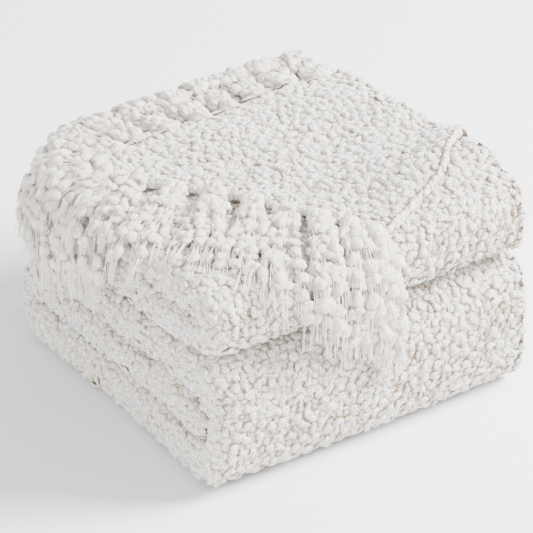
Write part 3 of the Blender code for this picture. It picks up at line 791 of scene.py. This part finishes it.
def flap_puffs(outline):
    """Puffs over the flap, along its edge and round the curl at its right side."""
    x, y = jittered(-150 * MM, TURN, -155 * MM, 118 * MM, PUFF_PITCH)
    inner = outline + unit(outline.mean(axis=0) - outline) * FIELD_IN
    keep = inside_outline(x, y, inner) & (x < TURN)
    x, y = x[keep], y[keep]
    across = flap_point(x + NUDGE, y, FLAP_LIFT) - flap_point(x - NUDGE, y, FLAP_LIFT)
    along = flap_point(x, y + NUDGE, FLAP_LIFT) - flap_point(x, y - NUDGE, FLAP_LIFT)
    inside = (flap_point(x, y, FLAP_LIFT), unit(np.cross(across, along)), unit(along))
    edge = flap_outline()
    distance = np.insert(np.cumsum(np.linalg.norm(np.diff(edge, axis=0), axis=1)), 0, 0)
    at = np.arange(2 * MM, distance[-1], RIM_PITCH)
    spot = np.column_stack([np.interp(at, distance, edge[:, i]) for i in range(2)])
    ahead = np.column_stack([np.interp(at + NUDGE, distance, edge[:, i]) for i in range(2)])
    behind = np.column_stack([np.interp(at - NUDGE, distance, edge[:, i]) for i in range(2)])
    way = unit(ahead - behind)
    out = np.column_stack([way[:, 1], -way[:, 0]])
    here = flap_point(spot[:, 0], spot[:, 1], FLAP_LIFT)
    beyond = flap_point(spot[:, 0] + out[:, 0] * MM, spot[:, 1] + out[:, 1] * MM, FLAP_LIFT)
    sets = [(here, unit(beyond - here) + np.array([0, 0, 0.35]), np.column_stack([way, np.zeros(len(way))]))]
    turn, y = np.meshgrid(np.radians([22, 68, 114]), np.arange(SELVEDGE[-1][1] * MM, 112 * MM, 4.8 * MM))
    turn, y = turn.ravel(), y.ravel() + chance.uniform(-1.5, 1.5, turn.size) * MM
    lift = FLAP_LIFT - CURL + CURL * np.cos(turn)
    centre = flap_point(TURN + CURL * np.sin(turn), y, lift)
    wider = 1.2 * CURL
    beyond = flap_point(TURN + wider * np.sin(turn), y, FLAP_LIFT - CURL + wider * np.cos(turn))
    sets.append((centre, unit(beyond - centre), np.tile([0.0, 1, 0], (len(y), 1))))
    return sets + [inside]


def yarn_path(root, heading, length, lift):
    """Middle line of a yarn: over the top, round the nearest edge and straight down.

    It lies lift higher than the lowest yarns. Returns even steps with their tangents and ups.
    """
    way = np.array([math.cos(heading), math.sin(heading)])
    hits = []
    for degrees, distance, across, down in WALLS:
        out = np.array([math.cos(math.radians(degrees)), math.sin(math.radians(degrees))])
        towards = float(way @ out)
        if towards > 0.05:
            reach = (distance + lift - float(root @ out)) / towards
            hits.append((reach, (across + lift) / towards, down + lift))
    reach, across, down = min(hits)
    turn = np.linspace(0, math.pi / 2, 40)
    bend = reach - across
    flat = np.arange(min(0, bend) - 1 * MM, bend, 5 * MM)
    t = np.concatenate([flat, bend + across * np.sin(turn) ** (2 / LOCK_SQUARE), [reach]])
    fall = np.concatenate([0 * flat, down - down * np.cos(turn) ** (2 / LOCK_SQUARE), [down + length]])
    x = root[0] + t * way[0]
    y = np.clip(root[1] + t * way[1], fold_start("upper_front"), LAST_END)
    z = height_of("top", x, y) + YARN_LIFT + ROOT_LIFT * np.exp(-np.abs(t) / ROOT_FADE) + lift - fall
    start_z = np.interp(0, t, z)
    keep = t > 0
    t, z = np.append(0, t[keep]), np.append(start_z, z[keep])
    distance = np.insert(np.cumsum(np.hypot(np.diff(t), np.diff(z))), 0, 0)
    even = np.linspace(0, length, YARN_STEPS)
    t, z = np.interp(even, distance, t), np.interp(even, distance, z)
    path = np.column_stack([root + t[:, None] * way, z])
    middle = slump(path)
    side = unit(slump(path + np.array([-way[1], way[0], 0]) * MM) - middle)
    tangent = unit(np.gradient(middle, axis=0))
    return middle, side, unit(np.cross(tangent, side))


def tassel_yarns(number):
    """Paths of one tassel's yarns: layers that leave the knot close together and spread.

    They fan out as much as the headings turn from one tassel to the next.
    """
    place, degrees, length, raised = TASSELS[number]
    line, way, total = smooth_line(FRINGE_EDGE, 400)
    at = np.linspace(0, total, 400)
    spot = np.array([np.interp(place * MM, at, line[:, i]) for i in range(2)])
    along = np.array([np.interp(place * MM, at, way[:, i]) for i in range(2)])
    out = np.array([along[1], -along[0]])
    fan = max(0.25, np.gradient([row[1] for row in TASSELS])[number] / KNOT_WIDE)
    yarns = []
    for across, layer in YARNS + (CLUSTER if number in CLUSTERED else []):
        root = spot + along * across * KNOT * MM - out * (4 + layer * 0.6) * MM
        turn = math.radians(degrees + across * fan + chance.uniform(-5, 5))
        reach = length * MM * chance.uniform(0.86, 1.04)
        lift = (layer + raised + chance.uniform(-0.5, 0.6)) * MM
        middle, side, up = yarn_path(root, turn, reach * LOOSE, lift)
        sway = np.linspace(0, 1, YARN_STEPS)[:, None]
        middle = middle + side * np.sin(sway * chance.uniform(3, 6) + chance.uniform(0, 6)) * sway * 4 * MM
        middle = middle + side * across * (1 - KNOT) * (1 - np.exp(-sway * reach / PART_OVER)) * MM
        yarns.append((middle, side, up, reach))
    return yarns


def oval_mesh(name, centre, axis, side, size, material):
    """Joined oval puffs of a tassel: rings round an axis, narrow at both ends, with long ridges.

    A point at angle p from one end and a round the axis is (cos p along the axis, sin p to the
    power 0.7 across it), times 1 + waves in a, which are the puff's strands, + a little chance.
    """
    count = len(centre)
    rings, around = 7, 12
    p = np.concatenate([[0], np.repeat(np.linspace(0, math.pi, rings + 2)[1:-1], around), [math.pi]])
    a = np.concatenate([[0], np.tile(np.arange(around) * 2 * math.pi / around, rings), [0]])
    phase = chance.uniform(0, 2 * math.pi, (4, count, 1))
    lump = (1 + 0.14 * np.sin(2 * a + phase[0]) + 0.11 * np.sin(5 * a + phase[1])
            + 0.12 * np.cos(p * 2 + phase[2]) + 0.12 * np.sin(3 * a + 2 * p + phase[3]))
    across = np.sin(p) ** 0.7 * (lump + chance.normal(0, 0.10, lump.shape))
    up = np.cross(axis, side)
    points = (centre[:, None] + axis[:, None] * (np.cos(p) * size[:, :1])[..., None]
              + side[:, None] * (across * np.cos(a) * size[:, 1:2])[..., None]
              + up[:, None] * (across * np.sin(a) * size[:, 2:])[..., None])
    step = np.arange(around)
    after = (step + 1) % around
    last = 1 + around * rings
    foot = 1 + (rings - 1) * around
    caps = np.vstack([np.column_stack([0 * step, 1 + after, 1 + step]),
                      np.column_stack([0 * step + last, foot + step, foot + after])])
    bands = np.vstack([np.column_stack([1 + r * around + step, 1 + r * around + after,
                                        1 + (r + 1) * around + after, 1 + (r + 1) * around + step])
                       for r in range(rings - 1)])
    start = (np.arange(count) * (last + 1))[:, None, None]
    # tip is painted shade: darker at each oval's two ends, where it meets the yarn and its neighbours
    tip = np.tile(np.clip(np.sin(p) * 1.4 + 0.12, 0, 1), count)
    tone = np.repeat(chance.uniform(0, 1, count), last + 1)
    strand = np.column_stack([np.cos(a), np.sin(a), 0.22 * np.cos(p)])
    strand = (strand + chance.uniform(0, 60, (count, 1, 3))).reshape(-1, 3)
    faces = [(caps[None] + start).reshape(-1, 3), (bands[None] + start).reshape(-1, 4)]
    return add_mesh(name, points.reshape(-1, 3), faces, material,
                    {"tip": tip, "tone": tone, "strand": strand})


def thread_mesh(name, paths, sides, ups, radius, material):
    """Joined thin threads: three-sided tubes carried along rows of points."""
    count, steps = paths.shape[:2]
    turn = (np.array([0, 2, 4]) * math.pi / 3)[:, None]
    ring = sides[:, :, None] * np.cos(turn) + ups[:, :, None] * np.sin(turn)
    points = paths[:, :, None] + ring * radius
    corner = np.arange(3)
    after = (corner + 1) % 3
    bands = np.vstack([np.column_stack([i * 3 + corner, i * 3 + after, i * 3 + 3 + after, i * 3 + 3 + corner])
                       for i in range(steps - 1)])
    caps = np.array([[2, 1, 0], [steps * 3 - 3, steps * 3 - 2, steps * 3 - 1]])
    start = (np.arange(count) * steps * 3)[:, None, None]
    faces = [(caps[None] + start).reshape(-1, 3), (bands[None] + start).reshape(-1, 4)]
    ones = np.ones(count * steps * 3)
    return add_mesh(name, points.reshape(-1, 3), faces, material,
                    {"tip": ones * 0.8, "tone": ones * 0.6, "strand": np.zeros((len(ones), 3))})


def tassel_pieces(node, first, last):
    """The puffs and threads of one group of tassels, in place of their solids.

    The puffs of a tassel's yarns lie in loose tiers, with bare threads between the tiers.
    """
    centres, axes, sides, sizes = [], [], [], []
    lines, line_sides, line_ups = [], [], []
    for number in range(first, last):
        start = chance.uniform(13, 17)
        for middle, side, up, length in tassel_yarns(number):
            distance = np.linspace(0, length * LOOSE, YARN_STEPS)
            tiers = (np.arange(start + chance.uniform(-3, 3), 160, TIER)[:, None] + TIER_PUFFS).ravel() * MM
            tiers = tiers + chance.uniform(-3, 3, len(tiers)) * MM
            tiers = tiers[tiers < length - 3 * MM]
            for at in np.insert(tiers, 0, chance.uniform(1, 4) * MM):
                spot, ahead, behind, beside, above = (
                    np.array([np.interp(place, distance, rows[:, k]) for k in range(3)])
                    for place, rows in ((at, middle), (at + 3 * MM, middle), (at - 3 * MM, middle),
                                        (at, side), (at, up)))
                axis = unit(ahead - behind + chance.normal(0, 1.3, 3) * MM)
                beside = unit(beside - axis * float(beside @ axis))
                root = at < 6 * MM
                centres.append(spot + beside * chance.uniform(-2.4, 2.4) * MM
                               + above * chance.uniform(-1, 1) * MM)
                axes.append(axis)
                sides.append(beside)
                wide = (5.4 if root else chance.uniform(3.6, 5.6)) * MM
                sizes.append([(7 if root else chance.uniform(4.8, 7.6)) * MM, wide, wide * 0.8])
            for _ in range(THREADS):
                spread = np.linspace(0.4, 1, YARN_STEPS)[:, None]
                lines.append(middle + side * spread * chance.uniform(-4.5, 4.5) * MM
                             + up * spread * chance.uniform(-1.5, 2.5) * MM)
                line_sides.append(side)
                line_ups.append(up)
    ovals = [np.array(rows) for rows in (centres, axes, sides, sizes)]
    runs = [np.array(rows) for rows in (lines, line_sides, line_ups)]
    puffs = oval_mesh(node + "_puffs", *ovals, CREAM)
    threads = thread_mesh(node + "_threads", *runs, THREAD_RADIUS, CREAM)
    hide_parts(node)
    return puffs, threads


def add_puffs(name, sets):
    """Joined puffs on cloth: those of the last set as close as they fit, the edges' own all kept.

    Bobbles lie at even, chance places. A puff stands higher the nearer it lies to the middle of
    its bobble: by 1 less the square of its distance over the bobble's reach.
    """
    centre = np.concatenate([row[0] for row in sets])
    normal = unit(np.concatenate([row[1] for row in sets]))
    along = np.concatenate([row[2] for row in sets])
    edges = len(centre) - len(sets[-1][0])
    kept = np.ones(len(centre), dtype=bool)
    kept[edges:] = thinned(centre[edges:], PUFF_ROOM)
    centre, normal, along = centre[kept], normal[kept], along[kept]
    count = len(centre)
    middles = centre[chance.permutation(count)]
    middles = middles[thinned(middles, BOBBLE_ROOM)]
    nearest = np.concatenate([np.linalg.norm(part[:, None] - middles, axis=2).min(axis=1)
                              for part in np.array_split(centre, math.ceil(count / 500))])
    # swell lifts a puff and, as rise_share, also paints it lighter: painted light on the bobbles' tops
    swell = np.clip(1 - (nearest / BOBBLE_REACH) ** 2, 0, 1)
    wide = PUFF_WIDE * chance.uniform(0.85, 1.2, (count, 2))
    high = PUFF_HEIGHT * chance.uniform(0.8, 1.2, count)
    turned = unit(normal + chance.normal(0, 0.16, (count, 3)))
    along = unit(along) + chance.normal(0, 0.8, (count, 3))
    centre = centre + normal * (swell * BOBBLE_HIGH + chance.uniform(0, 0.6, count) * MM)[:, None]
    pieces = []
    parts = math.ceil(count * PUFF_TRIANGLES / PIECE_TRIANGLES)
    for i, rows in enumerate(np.array_split(np.arange(count), parts)):
        piece = puff_mesh(f"{name}_{i + 1}" if parts > 1 else name, centre[rows], turned[rows],
                          along[rows], wide[rows], high[rows], IVORY, swell[rows])
        pieces.append(piece)
    return pieces


def add_camera():
    """The photo's camera: its angle, its distance and a small shift of its frame."""
    azimuth, elevation = math.radians(CAMERA_TURN), math.radians(CAMERA_RISE)
    back = np.array([math.sin(azimuth) * math.cos(elevation), -math.cos(azimuth) * math.cos(elevation),
                     math.sin(elevation)])
    data = bpy.data.cameras.new("camera")
    data.sensor_width = SENSOR
    data.lens = SENSOR * PIXELS_A_METRE * CAMERA_AWAY / PHOTO_SIDE
    data.shift_x = PHOTO_SHIFT[0] / PHOTO_SIDE
    data.shift_y = PHOTO_SHIFT[1] / PHOTO_SIDE
    data.clip_end = 20
    camera = bpy.data.objects.new("camera", data)
    camera.location = CAMERA_AIM + back * CAMERA_AWAY
    camera.rotation_euler = (math.pi / 2 - elevation, 0, azimuth)
    bpy.context.scene.collection.objects.link(camera)
    bpy.context.scene.camera = camera


def add_light(name, place, target, size, power):
    """A round white light turned towards a target."""
    data = bpy.data.lights.new(name, "AREA")
    data.shape = "DISK"
    data.size = size
    data.energy = power
    light = bpy.data.objects.new(name, data)
    way = np.array(target) - np.array(place)
    light.location = place
    light.rotation_euler = (math.atan2(math.hypot(way[0], way[1]), -way[2]), 0,
                            math.atan2(way[1], way[0]) - math.pi / 2)
    bpy.context.scene.collection.objects.link(light)


def add_studio():
    """A pale floor, soft light all round, a key light at the right and a weak fill at the left."""
    mesh = bpy.data.meshes.new("floor")
    mesh.from_pydata([(-6, -6, 0), (6, -6, 0), (6, 6, 0), (-6, 6, 0)], [], [(0, 1, 2, 3)])
    floor = bpy.data.objects.new("floor", mesh)
    bpy.context.scene.collection.objects.link(floor)
    material = bpy.data.materials.new("pale_floor")
    material.use_nodes = True
    shader = material.node_tree.nodes["Principled BSDF"]
    shader.inputs["Base Color"].default_value = (0.83, 0.83, 0.84, 1)
    shader.inputs["Roughness"].default_value = 0.8
    mesh.materials.append(material)
    world = bpy.data.worlds.new("studio")
    world.use_nodes = True
    world.node_tree.nodes["Background"].inputs["Color"].default_value = (0.97, 0.98, 1.0, 1)
    world.node_tree.nodes["Background"].inputs["Strength"].default_value = 1.65
    bpy.context.scene.world = world
    add_light("key", (1.9, -1.0, 1.7), (0, 0, 0.1), 1.3, 450)
    add_light("fill", (-2.4, -0.7, 0.4), (0, 0, 0.12), 1.0, 62)


def main():
    """Builds the throw and sets up the picture."""
    outline = flap_outline()
    closed = np.vstack([outline, [[TURN, FRINGE_EDGE[0][1] * MM]]])
    lower, lower_flat = strip_cloth("cloth_lower", 0, 6)
    upper, upper_flat = strip_cloth("cloth_upper", 6, 10)
    flap = flap_cloth()
    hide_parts("throw_cloth")
    strip = rim_puffs() + [strip_puffs(closed)]
    puffs = add_puffs("cloth_puffs", strip)
    flap_pieces = add_puffs("flap_puffs", flap_puffs(closed))
    tassels = []
    for node, (first, last) in NODE_TASSELS.items():
        tassels += tassel_pieces(node, first, last)
    add_camera()
    add_studio()


main()
